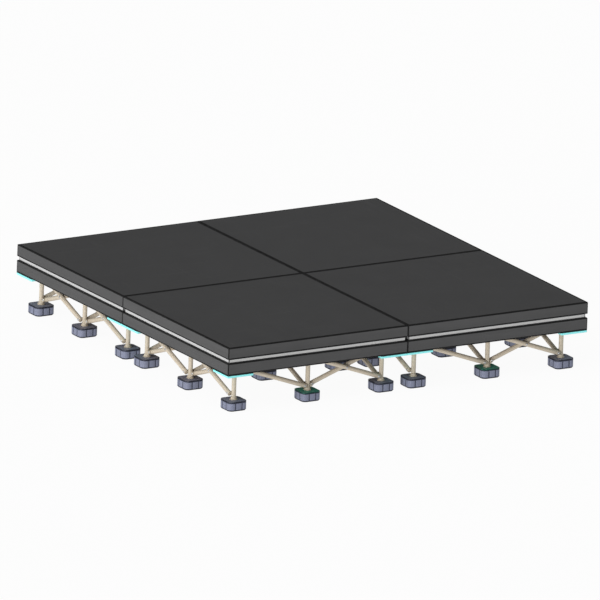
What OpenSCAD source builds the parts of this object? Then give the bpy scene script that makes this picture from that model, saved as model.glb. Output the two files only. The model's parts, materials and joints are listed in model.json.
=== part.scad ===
// Portable stage of four square decks, each carried by a folding lattice riser of nine legs.
// The origin is the middle of the stage on the floor, with Z up. Lengths are in millimetres.

/* [Stage] */
// Height of the walking surface above the floor
stage_h = 406; // [396:1:450]
// Gap between neighbouring decks
deck_gap = 0.5; // [0.3:0.1:4]

/* [Deck] */
// Side of one square deck
deck_w = 1219; // [1100:1:1250]
// Thickness of the plywood panel
panel_t = 18; // [12:1:24]
// Play around the panel inside the rail lips
panel_clear = 0.5; // [0.3:0.1:2]
// Height of the upper edge rail
upper_rail_h = 71; // [60:1:85]
// Height of the bright channel strip
channel_h = 24; // [16:1:32]
// Height of the lower edge rail
lower_rail_h = 73; // [50:1:85]
// Thickness of the edge rails
rail_t = 30; // [24:1:40]
// Thickness of the rail lip beside the panel
lip_t = 4; // [3:0.5:8]
// Depth of the channel strip behind the rail faces
channel_recess = 10; // [5:1:14]
// Wall of the channel strip
channel_wall = 3; // [2:0.5:4]
// Width of the joists under the panel
joist_w = 40; // [36:1:50]
// Height of the joists under the panel
joist_h = 80; // [70:1:90]

/* [Corner plates] */
// Length of a corner plate along each edge
corner_plate_w = 175; // [140:1:190]
// Width of the two bars of a corner plate
corner_arm_w = 45; // [35:1:60]
// Thickness of a corner plate
corner_plate_t = 15; // [8:1:20]
// Radius of the plate screws
screw_r = 3; // [2:0.5:4]
// Radius of the plate screw heads
screw_head_r = 6; // [5:0.5:8]
// Height of the plate screw heads
screw_head_h = 4; // [2:0.5:6]
// Length of a plate screw inside the lower rail
screw_grip = 40; // [25:1:45]
// Distance of a plate screw from the corner of the deck
screw_far = 130; // [90:1:135]

/* [Foot] */
// Side of the square foot
foot_w = 125; // [100:1:126]
// Corner radius of the foot
foot_r = 30; // [15:1:40]
// Height of the moulded foot block
foot_block_h = 48; // [36:1:60]
// Thickness of the rubber sole
sole_t = 4; // [3:0.5:6]
// Inset of the sole from the side of the block
sole_inset = 4; // [2:0.5:8]
// Thickness of the cap plate on the foot
foot_cap_t = 5; // [4:0.5:8]

/* [Leg] */
// Distance of the outer legs from the edge of the deck
leg_inset = 109.5; // [105:0.5:130]
// Outer radius of a leg post
post_r = 13.5; // [12:0.5:14]
// Wall of a leg post
post_wall = 2; // [1.5:0.5:3]
// Length of the spigots inside the post ends
spigot_h = 18; // [10:1:25]
// Thickness of the flange on the plug in the post top
plug_t = 3; // [2:0.5:5]
// Radius of the locating spigot on the middle top hub
locator_r = 12; // [8:0.5:14]
// Height of the locating spigot
locator_h = 20; // [12:1:30]

/* [Hubs] */
// Wall of the collar and of the socket around a post
collar_wall = 3; // [2:0.5:4]
// Height of the collar on the foot
collar_h = 18; // [12:1:24]
// Radius of the flange under the collar
flange_r = 23; // [19:1:28]
// Thickness of the flange under the collar
flange_t = 4; // [3:0.5:6]
// Depth of the socket in a top hub
socket_h = 38; // [25:1:44]
// Radius of the load plate on a top hub
load_plate_r = 40; // [30:1:44]
// Thickness of the load plate on a top hub
load_plate_t = 10; // [6:1:14]
// Thickness of the ears that hold the braces
ear_t = 6; // [5:0.5:8]
// Radius of the rounded end of an ear
ear_r = 10; // [9.5:0.5:12]
// Width of an ear before its rounded end
ear_w = 18; // [14:0.5:18]

/* [Braces] */
// Outer radius of a brace tube
brace_r = 13.5; // [11:0.5:14]
// Wall of a brace tube
brace_wall = 2; // [1.5:0.5:3]
// Length of a brace beyond its end pivots
brace_end = 12; // [10:0.5:14]
// Length of the solid plug in each end of a brace
brace_plug = 26; // [22:1:40]
// Gap between a brace and its neighbour at a pivot
brace_gap = 1; // [0.6:0.1:2]
// Distance of a brace pivot from the post axis
pivot_out = 30; // [29:0.5:34]
// Height of the lower pivots above the foot
pivot_rise = 33; // [30:1:40]
// Distance of the upper pivots below the load plate
pivot_drop = 50; // [44:1:60]
// Radius of a rivet
rivet_r = 4; // [3:0.5:5]
// Radius of a rivet head
rivet_head_r = 7; // [6:0.5:8]
// Thickness of a rivet head
rivet_head_t = 2.5; // [1.5:0.5:4]
// Running play around a rivet
rivet_play = 0.08; // [0.03:0.01:0.1]

/* [Hidden] */
$fn = 48;
cut = 1;
seat_gap = 0.2;
fit_gap = 0.3;

stations = 3;
last = stations - 1;
columns = ["a", "b", "c"];
rows = ["1", "2", "3"];
ways = ["right", "back", "left", "front"];
way_steps = [[1, 0], [0, 1], [-1, 0], [0, -1]];
places = ["front_left", "front_right", "back_left", "back_right"];
place_signs = [[-1, -1], [1, -1], [-1, 1], [1, 1]];
standing = [1, 2, 3];

tan_paint = "#C8B99C";
foot_blue = "#9496A8";
slate = "#4E505E";
teal = "#2F7F70";
turquoise = "#7FFFE5";
panel_black = "#404040";
rail_black = "#565656";
bright = "#CFCFCF";
rubber = "#2A2A2C";
steel = "#9A9A9E";

module_step = (deck_w + deck_gap) / 2;
panel_z = stage_h - panel_t;
upper_rail_z = stage_h - upper_rail_h;
channel_z = upper_rail_z - channel_h;
lower_rail_z = channel_z - lower_rail_h;
corner_plate_z = lower_rail_z - corner_plate_t;
joist_z = panel_z - joist_h;
load_plate_z = joist_z - load_plate_t;
pivot_top_z = load_plate_z - pivot_drop;
foot_top = sole_t + foot_block_h + foot_cap_t;
pivot_low_z = foot_top + pivot_rise;
leg_span = deck_w / 2 - leg_inset;
post_bore_r = post_r - post_wall;
socket_r = post_r + fit_gap;
collar_r = socket_r + collar_wall;
plug_z = load_plate_z - plug_t;
brace_run = leg_span - 2 * pivot_out;
brace_rise = pivot_top_z - pivot_low_z;
brace_len = sqrt(brace_run * brace_run + brace_rise * brace_rise);
brace_angle = atan2(brace_rise, brace_run);
brace_axis_y = brace_gap / 2 + brace_r;
brace_out = brace_gap / 2 + 2 * brace_r;
ear_out = brace_gap / 2 + ear_t;
// Heights at which the ears leave the collar of a knuckle and the socket of a top hub
low_ear_z = foot_top + seat_gap + ear_r;
high_ear_z = load_plate_z - socket_h / 2;
// Places of the plate screws, measured from the corner of the deck along its two edges
screw_line = rail_t / 2;
screw_places = [[screw_line, screw_line], [screw_far, screw_line], [screw_line, screw_far]];

// Whether a leg at column i and row j has a neighbour in way k
function joined(i, j, k) =
    i + way_steps[k][0] >= 0 && i + way_steps[k][0] <= last &&
    j + way_steps[k][1] >= 0 && j + way_steps[k][1] <= last;
// The bay at the front left corner has a single brace: none starts at foot a1 towards the right
function brace_starts(i, j, k) = joined(i, j, k) && !(i == 0 && j == 0 && k == 0);
function brace_ends(i, j, k) = joined(i, j, k) && !(i == 1 && j == 0 && k == 2);
function leg_key(i, j) = str(columns[i], rows[j]);
function leg_node(i, j) = str("leg_", leg_key(i, j));
function hub_node(i, j) = str("top_hub_", leg_key(i, j));
function brace_node(i, j, k) = str("brace_", leg_key(i, j), "_", ways[k]);
function deck_node(m, piece) = str("deck_", places[m], "_", piece);
function module_at(m) = [place_signs[m][0] * module_step, place_signs[m][1] * module_step, 0];

module at_leg(i, j) translate([(i - 1) * leg_span, (j - 1) * leg_span, 0]) children();

module toward(k) rotate([0, 0, 90 * k]) children();

module rounded_square(w, r) {
    square([w - 2 * r, w], center = true);
    square([w, w - 2 * r], center = true);
    for (x = [-1, 1], y = [-1, 1]) translate([x, y] * (w / 2 - r)) circle(r = r);
}

// A plate standing in the XZ plane, from y0 towards +Y by its thickness
module upright(y0, thickness) translate([0, y0 + thickness, 0]) rotate([90, 0, 0])
    linear_extrude(thickness) children();

module pin_hole(x, z) translate([x, brace_out + cut, z]) rotate([90, 0, 0])
    cylinder(r = rivet_r + rivet_play, h = 2 * (brace_out + cut));

module post() color(tan_paint) translate([0, 0, foot_top + seat_gap]) difference() {
    cylinder(r = post_r, h = plug_z - foot_top - 2 * seat_gap);
    translate([0, 0, -cut]) cylinder(r = post_bore_r, h = plug_z - foot_top + cut);
}

module post_plug() color(slate) {
    translate([0, 0, plug_z]) cylinder(r1 = post_r, r2 = post_r - plug_t / 2, h = plug_t);
    translate([0, 0, plug_z - spigot_h]) cylinder(r = post_bore_r - seat_gap, h = spigot_h);
}

module foot_block() color(foot_blue) translate([0, 0, sole_t + seat_gap])
    linear_extrude(foot_block_h - 2 * seat_gap) rounded_square(foot_w, foot_r);

module foot_sole() color(rubber) linear_extrude(sole_t)
    rounded_square(foot_w - 2 * sole_inset, foot_r - sole_inset);

module foot_cap(paint) color(paint) {
    translate([0, 0, foot_top - foot_cap_t]) linear_extrude(foot_cap_t) rounded_square(foot_w, foot_r);
    translate([0, 0, foot_top - cut]) cylinder(r = post_bore_r - seat_gap, h = spigot_h + cut);
}

// Slanted ear from the post at height root_z out to its rivet hole at x = pivot_out
module ear(y0, root_z, pivot_z) upright(y0, ear_t) {
    translate([pivot_out, pivot_z]) circle(r = ear_r);
    translate([0, root_z]) rotate(atan2(pivot_z - root_z, pivot_out)) translate([0, -ear_w / 2])
        square([norm([pivot_out, pivot_z - root_z]), ear_w]);
}

module knuckle(i, j) color(tan_paint) difference() {
    union() {
        translate([0, 0, foot_top + seat_gap]) cylinder(r = collar_r, h = collar_h);
        translate([0, 0, foot_top + seat_gap]) cylinder(r = flange_r, h = flange_t);
        for (k = [0:3]) if (brace_starts(i, j, k)) toward(k) ear(-ear_out, low_ear_z, pivot_low_z);
    }
    translate([0, 0, foot_top]) cylinder(r = socket_r, h = pivot_rise + ear_r + cut);
    for (k = [0:3]) if (brace_starts(i, j, k)) toward(k) pin_hole(pivot_out, pivot_low_z);
}

module top_hub(i, j) color(tan_paint) difference() {
    union() {
        translate([0, 0, load_plate_z]) cylinder(r = load_plate_r, h = load_plate_t);
        translate([0, 0, load_plate_z - socket_h]) cylinder(r = collar_r, h = socket_h + cut);
        for (k = [0:3]) if (brace_ends(i, j, k)) toward(k) ear(brace_gap / 2, high_ear_z, pivot_top_z);
        if (i == 1 && j == 1) translate([0, 0, joist_z - cut]) cylinder(r = locator_r, h = locator_h + cut);
    }
    translate([0, 0, pivot_top_z - ear_r - cut]) cylinder(r = socket_r, h = pivot_drop + ear_r + cut);
    for (k = [0:3]) if (brace_ends(i, j, k)) toward(k) pin_hole(pivot_out, pivot_top_z);
}

// Rivet along Y between two outer faces, with a head on each
module rivet(y_low, y_high) color(steel) translate([0, y_high + fit_gap, 0]) rotate([90, 0, 0]) {
    cylinder(r = rivet_r, h = y_high - y_low + 2 * fit_gap);
    translate([0, 0, -rivet_head_t]) cylinder(r = rivet_head_r, h = rivet_head_t);
    translate([0, 0, y_high - y_low + 2 * fit_gap]) cylinder(r = rivet_head_r, h = rivet_head_t);
}

module low_rivets(i, j) for (k = [0:3]) if (brace_starts(i, j, k)) toward(k)
    translate([pivot_out, 0, pivot_low_z]) rivet(-ear_out, brace_out);

module high_rivets(i, j) for (k = [0:3]) if (brace_ends(i, j, k)) toward(k)
    translate([pivot_out, 0, pivot_top_z]) rivet(-brace_out, ear_out);

// Tube with solid plugs in its ends, from the foot of a leg up to the top hub of its neighbour in way k
module brace(k) color(tan_paint) toward(k) difference() {
    translate([pivot_out, brace_axis_y, pivot_low_z]) rotate([0, 90 - brace_angle, 0]) difference() {
        translate([0, 0, -brace_end]) cylinder(r = brace_r, h = brace_len + 2 * brace_end);
        translate([0, 0, brace_plug - brace_end])
            cylinder(r = brace_r - brace_wall, h = brace_len + 2 * (brace_end - brace_plug));
    }
    pin_hole(pivot_out, pivot_low_z);
    pin_hole(leg_span - pivot_out, pivot_top_z);
    pin_hole(leg_span / 2, (pivot_low_z + pivot_top_z) / 2);
}

// The rivet at a crossing sits in the brace that rises to the right or to the back
module crossing_rivet(i, j, k) if (k < 2 && brace_starts(i, j, k)) toward(k)
    translate([leg_span / 2, 0, (pivot_low_z + pivot_top_z) / 2]) rivet(-brace_out, brace_out);

module leg(i, j) translate(module_at(0)) at_leg(i, j) {
    post();
    post_plug();
    knuckle(i, j);
    foot_block();
    foot_sole();
    foot_cap(i == 1 && j == 0 ? teal : slate);
    low_rivets(i, j);
}

module hub(i, j) translate(module_at(0)) at_leg(i, j) {
    top_hub(i, j);
    high_rivets(i, j);
}

module moving_brace(i, j, k) translate(module_at(0)) at_leg(i, j) {
    brace(k);
    crossing_rivet(i, j, k);
}

// Repeats a piece at every leg of the three risers that stay up
module at_standing_legs() for (m = standing, i = [0:last], j = [0:last])
    translate(module_at(m)) at_leg(i, j) {
        $i = i;
        $j = j;
        children();
    }

module standing_posts() at_standing_legs() {
    post();
    post_plug();
}

module standing_knuckles() at_standing_legs() knuckle($i, $j);

module standing_feet() at_standing_legs() {
    foot_block();
    foot_sole();
}

module standing_foot_caps() at_standing_legs() foot_cap($i == 1 && $j == 0 ? teal : slate);

module standing_top_hubs() at_standing_legs() top_hub($i, $j);

module standing_braces() at_standing_legs() for (k = [0:3]) if (brace_starts($i, $j, k)) brace(k);

module standing_rivets() at_standing_legs() {
    low_rivets($i, $j);
    high_rivets($i, $j);
    for (k = [0:3]) crossing_rivet($i, $j, k);
}

module panel(m) color(panel_black) translate(module_at(m) + [0, 0, panel_z])
    linear_extrude(panel_t) square(deck_w - 2 * (lip_t + panel_clear), center = true);

// Four mitred lengths of one edge section, drawn as depth from the deck face and height
module edge_ring() for (k = [0:3]) toward(k) intersection() {
    translate([-deck_w / 2, -deck_w / 2, 0]) rotate([90, 0, 90]) linear_extrude(deck_w) children();
    linear_extrude(stage_h + cut) polygon([
        [-deck_w / 2 + fit_gap, -deck_w / 2],
        [deck_w / 2 - fit_gap, -deck_w / 2],
        [0, -fit_gap]
    ]);
}

module upper_rail_section() {
    translate([0, upper_rail_z]) square([rail_t, panel_z - upper_rail_z]);
    translate([0, upper_rail_z]) square([lip_t, upper_rail_h]);
}

module channel_section() difference() {
    translate([channel_recess, channel_z + seat_gap])
        square([rail_t - channel_recess, channel_h - 2 * seat_gap]);
    translate([channel_recess + channel_wall, channel_z + seat_gap + channel_wall])
        square([rail_t, channel_h - 2 * (seat_gap + channel_wall)]);
}

module lower_rail_section() translate([0, lower_rail_z]) square([rail_t, lower_rail_h]);

module joists() for (i = [0:last]) difference() {
    translate([(i - 1) * leg_span - joist_w / 2, -deck_w / 2 + rail_t + fit_gap, joist_z])
        cube([joist_w, deck_w - 2 * (rail_t + fit_gap), joist_h]);
    if (i == 1) translate([0, 0, joist_z - cut]) cylinder(r = locator_r + fit_gap, h = locator_h + 2 * cut);
}

module at_screws() for (k = [0:3]) toward(k) translate([-deck_w / 2, -deck_w / 2, 0])
    for (p = screw_places) translate(p) children();

module frame(m) translate(module_at(m)) {
    color(rail_black) edge_ring() upper_rail_section();
    color(bright) edge_ring() channel_section();
    color(rail_black) difference() {
        edge_ring() lower_rail_section();
        at_screws() translate([0, 0, lower_rail_z - cut])
            cylinder(r = screw_r + seat_gap, h = screw_grip + 2 * cut);
    }
    color(rail_black) joists();
}

// Two bars, the second one butted against the first
module corner_plate() color(turquoise) difference() {
    translate([0, 0, corner_plate_z]) linear_extrude(corner_plate_t) {
        square([corner_plate_w, corner_arm_w]);
        translate([0, corner_arm_w + seat_gap]) square([corner_arm_w, corner_plate_w - corner_arm_w - seat_gap]);
    }
    for (p = screw_places) translate([p[0], p[1], corner_plate_z - cut]) {
        cylinder(r = screw_r + seat_gap, h = corner_plate_t + 2 * cut);
        cylinder(r = screw_head_r + seat_gap, h = screw_head_h + seat_gap + cut);
    }
}

module plate_screw() color(steel) {
    translate([0, 0, corner_plate_z]) cylinder(r = screw_head_r, h = screw_head_h);
    translate([0, 0, corner_plate_z]) cylinder(r = screw_r, h = corner_plate_t + screw_grip);
}

module corners(m) translate(module_at(m)) {
    for (k = [0:3]) toward(k) translate([-deck_w / 2, -deck_w / 2, 0]) corner_plate();
    at_screws() plate_screw();
}

for (i = [0:last], j = [0:last]) {
    leg(i, j);
    hub(i, j);
    for (k = [0:3]) if (brace_starts(i, j, k))
        moving_brace(i, j, k);
}
standing_posts();
standing_knuckles();
standing_feet();
standing_foot_caps();
standing_top_hubs();
standing_braces();
standing_rivets();
for (m = [0:3]) {
    panel(m);
    frame(m);
    corners(m);
}
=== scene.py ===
"""Looks of a portable stage: four square decks on folding lattice risers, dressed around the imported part.

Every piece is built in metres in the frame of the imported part, and its place comes from the boxes of
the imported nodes. The section sizes repeat the part's own.
"""

import json
import logging
import math
from dataclasses import dataclass, field
from enum import Enum
from typing import Any, Iterable, Sequence

import bpy
import numpy as np
from mathutils import Matrix, Vector

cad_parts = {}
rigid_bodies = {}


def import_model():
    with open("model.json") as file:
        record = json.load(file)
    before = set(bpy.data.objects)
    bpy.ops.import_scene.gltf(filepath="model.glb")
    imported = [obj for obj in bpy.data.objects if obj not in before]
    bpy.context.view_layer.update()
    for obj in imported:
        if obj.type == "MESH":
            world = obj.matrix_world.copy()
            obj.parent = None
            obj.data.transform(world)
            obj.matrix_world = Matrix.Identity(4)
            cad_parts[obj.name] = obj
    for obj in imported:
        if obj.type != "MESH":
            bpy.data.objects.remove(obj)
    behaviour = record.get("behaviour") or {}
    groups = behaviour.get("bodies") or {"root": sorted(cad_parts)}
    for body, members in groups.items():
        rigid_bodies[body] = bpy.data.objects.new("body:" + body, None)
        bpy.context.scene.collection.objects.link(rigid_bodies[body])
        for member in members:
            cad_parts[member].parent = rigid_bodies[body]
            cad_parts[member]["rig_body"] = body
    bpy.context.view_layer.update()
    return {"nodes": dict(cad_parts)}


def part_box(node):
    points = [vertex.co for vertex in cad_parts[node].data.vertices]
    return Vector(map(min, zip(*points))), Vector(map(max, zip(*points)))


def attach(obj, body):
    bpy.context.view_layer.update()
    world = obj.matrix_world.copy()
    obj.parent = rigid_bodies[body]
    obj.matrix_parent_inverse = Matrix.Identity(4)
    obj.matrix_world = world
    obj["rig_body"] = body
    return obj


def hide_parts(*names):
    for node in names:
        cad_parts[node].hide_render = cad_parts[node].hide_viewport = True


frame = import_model()

Rgb = tuple[float, float, float]
Point = tuple[float, float]
Triple = tuple[float, float, float]
Face = tuple[int, ...]
Socket = bpy.types.NodeSocket
Tree = bpy.types.NodeTree
LOG = logging.getLogger("stage")
QUARTER = math.pi / 2
SMOOTH_ANGLE = math.radians(40)
# Sides of a round piece
SIDES = 32
# How far in from both faces the middle of a rounded rim lies, as a share of its radius
RIM_MIDDLE = 0.3
# The mesh attributes that the materials read
EDGE = "edge"
GRAIN = "grain"


class Way(Enum):
    """The four ways in which a leg can have a neighbour, each with its step in columns and rows."""

    RIGHT = (1, 0)
    BACK = (0, 1)
    LEFT = (-1, 0)
    FRONT = (0, -1)

    @property
    def turns(self) -> int:
        """Number of quarter turns from the way to the right."""
        return list(Way).index(self)

    @property
    def spin(self) -> Matrix:
        """Turn about the vertical from the way to the right to this one."""
        return Matrix.Rotation(QUARTER * self.turns, 4, "Z")


class Texture(Enum):
    """The kinds of fine surface that the finishes have."""

    MOULDED = "moulded"
    POWDER = "powder"
    PEBBLED = "pebbled"
    TIMBER = "timber"
    BRUSHED = "brushed"


# Shapes


@dataclass
class Outline:
    """A closed outline, counterclockwise, with a mark on the stretch that follows each of its points."""

    points: list[Point] = field(default_factory=list)
    marks: list[float] = field(default_factory=list)

    def add(self, x: float, y: float, mark: float = 0.0) -> None:
        """Adds a point and the mark of the stretch after it."""
        self.points.append((x, y))
        self.marks.append(mark)

    def inset(self, depth: float) -> np.ndarray:
        """Moves every side inward by the same depth.

        Args:
            depth: How far each side moves, in metres.

        Returns:
            The moved points, one row each.

        Raises:
            ValueError: If a side is too short for that depth.
        """
        here = np.array(self.points, float)
        ahead = np.roll(here, -1, axis=0) - here
        ahead /= np.linalg.norm(ahead, axis=1)[:, None]
        normal_after = np.stack([-ahead[:, 1], ahead[:, 0]], axis=1)
        normal_before = np.roll(normal_after, 1, axis=0)
        dot = (normal_after * normal_before).sum(axis=1)
        moved = here + depth * (normal_after + normal_before) / (1 + dot)[:, None]
        if (((np.roll(moved, -1, axis=0) - moved) * ahead).sum(axis=1) <= 0).any():
            raise ValueError(f"an outline is too tight for an inset of {depth}")
        return moved


@dataclass(frozen=True)
class Corner:
    """A corner of a polygon, with its radius and the flat bands beside its arc that count as edges."""

    x: float
    y: float
    radius: float = 0.0
    before: float = 0.0
    after: float = 0.0
    mark: float = 0.0


def on_arc(x: float, y: float, radius: float, angle: float) -> Point:
    """The point at an angle on the arc of that radius about (x, y)."""
    return x + radius * math.cos(angle), y + radius * math.sin(angle)


def rounded_outline(corners: Sequence[Corner], steps: int = 3) -> Outline:
    """Rounds the corners of a polygon and marks the arcs as edges.

    Args:
        corners: The corners, counterclockwise.
        steps: Stretches in each arc.

    Returns:
        The rounded outline.
    """
    outline = Outline()
    count = len(corners)
    for i, here in enumerate(corners):
        corner = Vector((here.x, here.y))
        if here.radius <= 0:
            outline.add(*corner, mark=here.mark)
            continue
        last_corner, next_corner = corners[i - 1], corners[(i + 1) % count]
        before = (Vector((last_corner.x, last_corner.y)) - corner).normalized()
        after = (Vector((next_corner.x, next_corner.y)) - corner).normalized()
        half = before.angle(after) / 2
        reach = here.radius / math.tan(half)
        centre = corner + (before + after).normalized() * (here.radius / math.sin(half))
        first, last = corner + before * reach, corner + after * reach
        if here.before:
            outline.add(*(first + before * here.before), mark=1.0)
        start = math.atan2(first.y - centre.y, first.x - centre.x)
        sweep = math.atan2(last.y - centre.y, last.x - centre.x) - start
        sweep = (sweep + math.pi) % (2 * math.pi) - math.pi
        for step in range(steps):
            angle = start + sweep * step / steps
            outline.add(*on_arc(centre.x, centre.y, here.radius, angle), mark=1.0)
        outline.add(last.x, last.y, 1.0 if here.after else 0.0)
        if here.after:
            outline.add(*(last + after * here.after))
    return outline


def rectangle(width: float, depth: float, radius: float, steps: int = 3) -> Outline:
    """A rectangle about the origin with rounded corners.

    Args:
        width: Its size along X.
        depth: Its size along Y.
        radius: Radius of its corners.
        steps: Stretches in each corner.

    Returns:
        Its outline.
    """
    x, y = width / 2, depth / 2
    corners = ((x, -y), (x, y), (-x, y), (-x, -y))
    return rounded_outline([Corner(*corner, radius) for corner in corners], steps)


@dataclass
class Shape:
    """A closed mesh with a mark on each face and, at each point, its place in the member's own frame."""

    points: np.ndarray
    faces: list[Face]
    marks: list[float]
    grain: np.ndarray

    @classmethod
    def closed(cls, points: Sequence[Sequence[float]], faces: list[Face], marks: list[float]) -> "Shape":
        """Makes a shape whose faces all look outward.

        Args:
            points: The points of the mesh.
            faces: The faces, all wound the same way.
            marks: The mark of each face.

        Returns:
            The shape, with its faces turned over if they looked inward.
        """
        co = np.array(points, float)
        volume = 0.0
        for face in faces:
            fan = co[list(face)]
            volume += float((np.cross(fan[1:-1], fan[2:]) @ fan[0]).sum())
        if volume < 0:
            faces = [face[::-1] for face in faces]
        return cls(co, faces, marks, co.copy())

    def moved(self, matrix: Matrix, shift: Sequence[float] = (0.0, 0.0, 0.0)) -> "Shape":
        """Moves a copy, whose grain keeps to the member.

        Args:
            matrix: Where the copy goes.
            shift: How far the grain slides, so that no two members look the same.

        Returns:
            The moved copy.
        """
        turn = np.array(matrix.to_3x3())
        points = self.points @ turn.T + np.array(matrix.translation)
        return Shape(points, self.faces, self.marks, self.grain + np.array(shift))

    @staticmethod
    def joined(shapes: Iterable["Shape"]) -> "Shape":
        """Puts several shapes into one mesh.

        Args:
            shapes: The shapes.

        Returns:
            One shape with the faces of all.
        """
        points, faces, marks, grain, start = [], [], [], [], 0
        for shape in shapes:
            points.append(shape.points)
            grain.append(shape.grain)
            faces += [tuple(start + corner for corner in face) for face in shape.faces]
            marks += shape.marks
            start += len(shape.points)
        return Shape(np.concatenate(points), faces, marks, np.concatenate(grain))


def skinned(rings: Sequence[np.ndarray], along: Sequence[float], around: Sequence[float]) -> Shape:
    """Joins rings of points with a skin and closes its two ends.

    Args:
        rings: Rings of points, all of one length.
        along: The mark of each stretch between two rings.
        around: The mark of each stretch around a ring.

    Returns:
        The closed shape.
    """
    size = len(rings[0])
    faces, marks = [tuple(range(size))[::-1]], [0.0]
    for level, mark in enumerate(along):
        low, high = level * size, (level + 1) * size
        for i in range(size):
            j = (i + 1) % size
            faces.append((low + i, low + j, high + j, high + i))
            marks.append(max(mark, around[i]))
    faces.append(tuple(range((len(rings) - 1) * size, len(rings) * size)))
    marks.append(0.0)
    return Shape.closed(np.concatenate(rings), faces, marks)


def slab(
    outline: Outline, low: float, high: float, radius: float, band: float = 0.0, steps: int = 3
) -> Shape:
    """A flat slab with rounded rims.

    Args:
        outline: Its outline.
        low: Height of its underside.
        high: Height of its top.
        radius: Radius of both rims.
        band: Width of the flat band beside each rim that is marked as an edge.
        steps: Stretches in each rim.

    Returns:
        The slab.
    """
    profile: list[Point] = []
    if band:
        profile.append((radius + band, 0.0))
    for step in range(steps + 1):
        angle = QUARTER * step / steps
        profile.append((radius * (1 - math.sin(angle)), radius * (1 - math.cos(angle))))
    if band:
        profile.append((0.0, radius + band))
    levels = [(depth, low + rise) for depth, rise in profile]
    levels += [(depth, high - rise) for depth, rise in reversed(profile)]
    rings = []
    for depth, height in levels:
        flat = outline.inset(depth)
        rings.append(np.column_stack([flat, np.full(len(flat), height)]))
    rim = [1.0] * (len(profile) - 1)
    return skinned(rings, rim + [0.0] + rim, outline.marks)


def turned(
    profile: Sequence[Point], turns: int = SIDES, marks: Sequence[int] = (), ring: bool = False
) -> Shape:
    """A turned shape about the vertical.

    Args:
        profile: Radius and height of each point. An open profile starts and ends on the axis.
        turns: Sides of the turned shape.
        marks: The stretches of the profile that are edges.
        ring: Whether the profile closes on itself instead of on the axis.

    Returns:
        The turned shape.
    """
    points: list[Triple] = []
    starts: list[int] = []
    for radius, height in profile:
        starts.append(len(points))
        count = turns if radius > 0 else 1
        for i in range(count):
            angle = 2 * math.pi * i / turns
            points.append((radius * math.cos(angle), radius * math.sin(angle), height))
    faces: list[Face] = []
    face_marks: list[float] = []
    count = len(profile)
    for level in range(count if ring else count - 1):
        after = (level + 1) % count
        low, high = starts[level], starts[after]
        on_axis = profile[level][0] <= 0, profile[after][0] <= 0
        for i in range(turns):
            j = (i + 1) % turns
            if on_axis[0]:
                faces.append((low, high + j, high + i))
            elif on_axis[1]:
                faces.append((low + i, low + j, high))
            else:
                faces.append((low + i, low + j, high + j, high + i))
            face_marks.append(1.0 if level in marks else 0.0)
    return Shape.closed(points, faces, face_marks)


def tube(
    outer: float, inner: float, low: float, high: float, chamfer: float = 0.0008, turns: int = SIDES
) -> Shape:
    """An upright tube with broken rims, which are marked as edges.

    Args:
        outer: Its outer radius.
        inner: Its inner radius.
        low: Height of its lower end.
        high: Height of its upper end.
        chamfer: Width of its broken rims.
        turns: Its sides.

    Returns:
        The tube.
    """
    profile = [
        (inner, low + chamfer),
        (inner + chamfer, low),
        (outer - chamfer, low),
        (outer, low + chamfer),
        (outer, high - chamfer),
        (outer - chamfer, high),
        (inner + chamfer, high),
        (inner, high - chamfer),
    ]
    return turned(profile, turns, marks=(0, 2, 4, 6), ring=True)


def drum(radius: float, low: float, high: float, rim: float = 0.001, turns: int = SIDES) -> Shape:
    """An upright solid disc or pin with rounded rims, which are marked as edges.

    Args:
        radius: Its radius.
        low: Height of its lower end.
        high: Height of its upper end.
        rim: Radius of its rims.
        turns: Its sides.

    Returns:
        The disc or pin.
    """
    slope = rim * RIM_MIDDLE
    profile = [
        (0.0, low),
        (radius - rim, low),
        (radius - slope, low + slope),
        (radius, low + rim),
        (radius, high - rim),
        (radius - slope, high - slope),
        (radius - rim, high),
        (0.0, high),
    ]
    return turned(profile, turns, marks=(1, 2, 4, 5))


def upright(y_low: float, thickness: float) -> Matrix:
    """Stands a slab that lies from height 0 in the XZ plane, from y_low towards +Y by its thickness."""
    return Matrix.Translation((0, y_low + thickness, 0)) @ Matrix.Rotation(QUARTER, 4, "X")


# Node groups and finishes


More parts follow.
